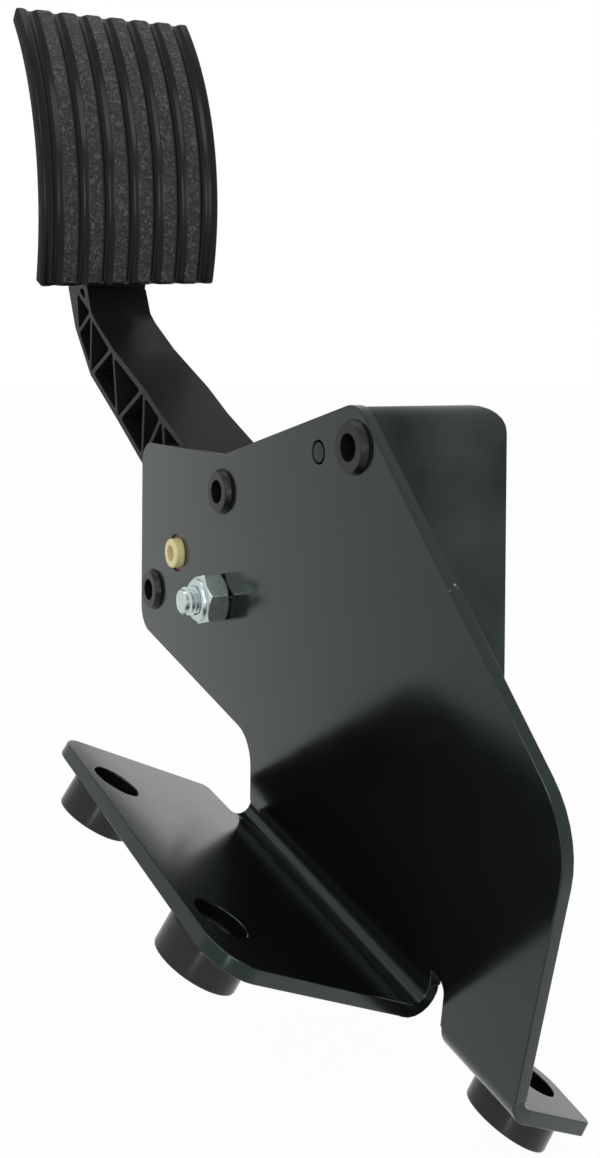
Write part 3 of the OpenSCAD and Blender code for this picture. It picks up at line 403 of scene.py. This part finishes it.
# pieces with broken edges
headInset = 0.0031  # a hair more than the plate's thickness
edges = {"bracket": ("frame", "bracket_paint", 0.0003, 3, 25),
         "housing": ("frame", "black_plastic", 0.0002, 2, 30),
         "lever": ("pedal", "lever_plastic", 0.00025, 2, 30),
         "lock_nut": ("frame", "zinc", 0.00028, 3, 20),
         "axle": ("pedal", "cream_plastic", 0.0003, 3, 30),
         "spacer_rear_left": ("frame", "spacer_steel", 0.0004, 2, 40),
         "spacer_front_left": ("frame", "spacer_steel", 0.0004, 2, 40),
         "spacer_right": ("frame", "spacer_steel", 0.0004, 2, 40),
         "sensor_case": ("frame", "black_plastic", 0.0003, 2, 40),
         "sensor_cover": ("frame", "black_plastic", 0.0003, 2, 40)}
for name, (body, slotName, edge, steps, sharp) in edges.items():
    piece = roundedCopy(name, body, edge, steps, sharp)
    if name == "housing":  # the formed heads stand out over the plate and are rougher; their darker colour is partly their own and partly painted shade in their bores
        piece.data.materials.append(materials["headPlasticBoreShade"])
        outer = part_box("bracket")[1].x - headInset
        for face in piece.data.polygons:
            if face.center.x < outer:
                face.material_index = len(piece.data.materials) - 1
    print("edges of", name, len(piece.data.polygons), "faces")


# springs, with round wire
springValues = {"keep": 0.53, "merge": 2e-6, "smooth": 60}
for name in ("outer_spring", "inner_spring"):
    spring = copyNode(name, name + "_wire")
    outwards(spring, springValues["merge"])
    applyModifier(spring, "SUBSURF", levels=1, render_levels=1)
    smooth(spring, springValues["smooth"])
    finishPiece(spring, "frame", [name])
    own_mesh(spring)
print("springs made")


# tread with its channels
treadValues = {"width": 0.0715, "radius": 0.107, "low": -23.0, "high": 38.3, "skirt": 0.007, "wall": 0.003,
               "skin": 0.0035, "edge": 0.0012, "channels": 7, "step": 0.01, "channelWidth": 0.0048,
               "channelDeep": 0.0014, "spread": 1.25, "cuts": 6, "rows": 70, "roll": 3.2, "follow": 0.0025,
               "flatNormal": 0.9, "flatDown": 0.5, "sideDown": 0.6, "landDeep": 0.12, "landSteps": 3,
               "rim": 1.2, "across": 0.022, "centre": (0.195, 0.130), "rollPoint": (0.0971, 0.0887)}
pivotPlace = Vector((0.05073119918, 0.12508787724, 0.05718681995))  # where the pivot meets the plate


def channelDepth(across):
    # smooth round channels between the flat lands
    values = treadValues
    half = values["channelWidth"] / 2
    for index in range(values["channels"]):
        away = abs(across - (index - (values["channels"] - 1) / 2) * values["step"])
        reach = half * values["spread"]
        if away < reach:
            return values["channelDeep"] * (0.5 + 0.5 * math.cos(math.pi * min(1.0, away / reach)))
    return 0.0


def makeTread():
    values = treadValues
    length = math.radians(values["high"] - values["low"]) * values["radius"]
    clearSelection()
    bpy.ops.mesh.primitive_cube_add(size=1, location=(0, 0, -values["skirt"] / 2))
    tread = bpy.context.active_object
    tread.name = "pad_tread"
    tread.scale = (values["width"], length, values["skirt"])
    freeze(tread)
    applyModifier(tread, "BEVEL", width=values["edge"], segments=4, limit_method="ANGLE")
    bpy.ops.object.mode_set(mode="EDIT")
    bpy.ops.mesh.select_all(action="DESELECT")
    mesh = bmesh.from_edit_mesh(tread.data)
    under = min(mesh.faces, key=lambda face: face.calc_center_median().z - face.calc_area())
    for face in mesh.faces:
        face.select_set(face is under)
    bmesh.update_edit_mesh(tread.data)
    bpy.ops.mesh.inset(thickness=values["wall"] - values["edge"])
    hollow = values["skirt"] - values["skin"]
    bpy.ops.mesh.extrude_region_move(TRANSFORM_OT_translate={"value": (0, 0, hollow)})
    cutsAcross = []
    for index in range(values["channels"]):
        middle = (index - (values["channels"] - 1) / 2) * values["step"]
        reach = values["channelWidth"] / 2 * values["spread"]
        cuts = values["cuts"]
        cutsAcross += [middle + reach * k / cuts for k in range(-cuts, cuts + 1)]
    for cut in cutsAcross:
        bpy.ops.mesh.select_all(action="SELECT")
        bpy.ops.mesh.bisect(plane_co=(cut, 0, 0), plane_no=(1, 0, 0))
    for row in range(1, values["rows"]):
        bpy.ops.mesh.select_all(action="SELECT")
        bpy.ops.mesh.bisect(plane_co=(0, (row / values["rows"] - 0.5) * length, 0), plane_no=(0, 1, 0))
    bpy.ops.mesh.select_all(action="SELECT")
    bpy.ops.mesh.remove_doubles(threshold=2e-6)
    bpy.ops.object.mode_set(mode="OBJECT")

    tread.data.materials.append(materials["channelRubber"])
    tread.data.materials.append(materials["landRubber"])
    tread.data.materials.append(materials["sideRubberPaintedShade"])
    inner = length / 2 - values["edge"] * values["rim"]
    shallow = values["channelDeep"] * values["landDeep"]
    for face in tread.data.polygons:
        across, along, high = face.center
        flat = face.normal.z > values["flatNormal"] and high > -values["edge"] * values["flatDown"]
        land = channelDepth(across) < shallow and abs(across) < values["step"] * values["landSteps"]
        face.material_index = 1 if flat and land and abs(along) < inner else 0
        # the side walls take the darker rubber, painted shade
        if high < -values["edge"] * values["sideDown"]:
            face.material_index = 2

    leverMiddle = pivotPlace.x + values["across"]
    centreY, centreZ = values["centre"]
    centre = Vector((0.0, pivotPlace.y + centreY, pivotPlace.z + centreZ))
    rollY, rollZ = values["rollPoint"]
    rollPoint = Vector((0, pivotPlace.y + rollY, pivotPlace.z + rollZ))
    rollBack = Matrix.Rotation(math.radians(-values["roll"]), 3, "Y")
    for vertex in tread.data.vertices:
        across, along, high = vertex.co
        weight = min(1.0, max(0.0, (high + values["follow"]) / values["follow"]))
        high -= channelDepth(across) * weight
        angle = math.radians((values["low"] + values["high"]) / 2) + along / values["radius"]
        radius = values["radius"] + high
        spot = Vector((across, centre.y - radius * math.cos(angle),
                       centre.z + radius * math.sin(angle)))
        vertex.co = rollBack @ (spot - rollPoint) + rollPoint + Vector((leverMiddle, 0, 0))
    outwards(tread)
    smooth(tread, 50)
    finishPiece(tread, "pedal", ["pad"])
    return tread


tread = makeTread()
print("tread made", len(tread.data.polygons), "faces")


# bolt with its thread
boltValues = {"pitch": 0.00125, "outer": 0.004, "root": 0.00332, "turns": 5, "tip": 0.0122, "cut": 0.0066,
              "short": 0.004, "tipEdge": 0.0005, "sunk": 0.0001, "ridgeHalf": 0.46, "start": 0.75,
              "merge": 2e-6, "round": 48, "steps": 36, "smooth": 25}


def makeBolt():
    values = boltValues
    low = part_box("through_bolt")[0]
    nutLow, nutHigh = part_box("lock_nut")
    middle = Vector((0, (nutLow.y + nutHigh.y) / 2, (nutLow.z + nutHigh.z) / 2))
    bolt = copyNode("through_bolt", "through_bolt_thread")
    bpy.ops.object.mode_set(mode="EDIT")
    bpy.ops.mesh.select_all(action="SELECT")
    bpy.ops.mesh.remove_doubles(threshold=values["merge"])
    bpy.ops.mesh.select_all(action="SELECT")
    bpy.ops.mesh.bisect(plane_co=(low.x + values["tip"] - values["cut"], 0, 0), plane_no=(-1, 0, 0),
                        clear_outer=True, use_fill=True)
    bpy.ops.object.mode_set(mode="OBJECT")
    # the core, with a domed tip
    depth = values["tip"] - values["short"]
    bpy.ops.mesh.primitive_cylinder_add(vertices=values["round"], radius=values["root"], depth=depth,
                                        location=(low.x + depth / 2, middle.y, middle.z),
                                        rotation=(0, math.radians(90), 0))
    core = bpy.context.active_object
    freeze(core)
    applyModifier(core, "BEVEL", width=values["tipEdge"], segments=3, limit_method="ANGLE")
    # one ridge of the thread, wound along the core
    bpy.ops.mesh.primitive_circle_add(vertices=3, radius=values["pitch"] * 0.5,
                                      rotation=(math.radians(90), 0, 0), location=(values["root"], 0, 0))
    ridge = bpy.context.active_object
    freeze(ridge)
    height = values["outer"] - values["root"]
    foot = values["root"] - values["sunk"]
    points = [(foot, -values["pitch"] * values["ridgeHalf"]), (foot, values["pitch"] * values["ridgeHalf"]),
              (values["root"] + height, 0.0)]
    for vertex, (radius, along) in zip(ridge.data.vertices, points):
        vertex.co = (radius, 0, along)
    activate(ridge)
    bpy.ops.object.origin_set(type="ORIGIN_CURSOR")
    applyModifier(ridge, "SCREW", axis="Z", angle=math.radians(360), screw_offset=values["pitch"],
                  iterations=values["turns"], steps=values["steps"], render_steps=values["steps"],
                  use_merge_vertices=True)
    bpy.ops.object.mode_set(mode="EDIT")
    bpy.ops.mesh.select_all(action="DESELECT")
    bpy.ops.mesh.select_non_manifold()
    bpy.ops.mesh.fill()
    bpy.ops.object.mode_set(mode="OBJECT")
    ridge.rotation_euler = (0, math.radians(90), 0)
    ridge.location = (low.x + values["pitch"] * values["start"], middle.y, middle.z)
    freeze(ridge)
    outwards(ridge)
    for piece in (bolt, core, ridge):
        piece.data.materials.clear()
        piece.data.materials.append(materials["zincPlate"])
    clearSelection()
    for piece in (core, ridge, bolt):
        piece.select_set(True)
    bpy.context.view_layer.objects.active = bolt
    bpy.ops.object.join()
    smooth(bolt, values["smooth"])
    finishPiece(bolt, "frame", ["through_bolt"])


makeBolt()
print("bolt made")
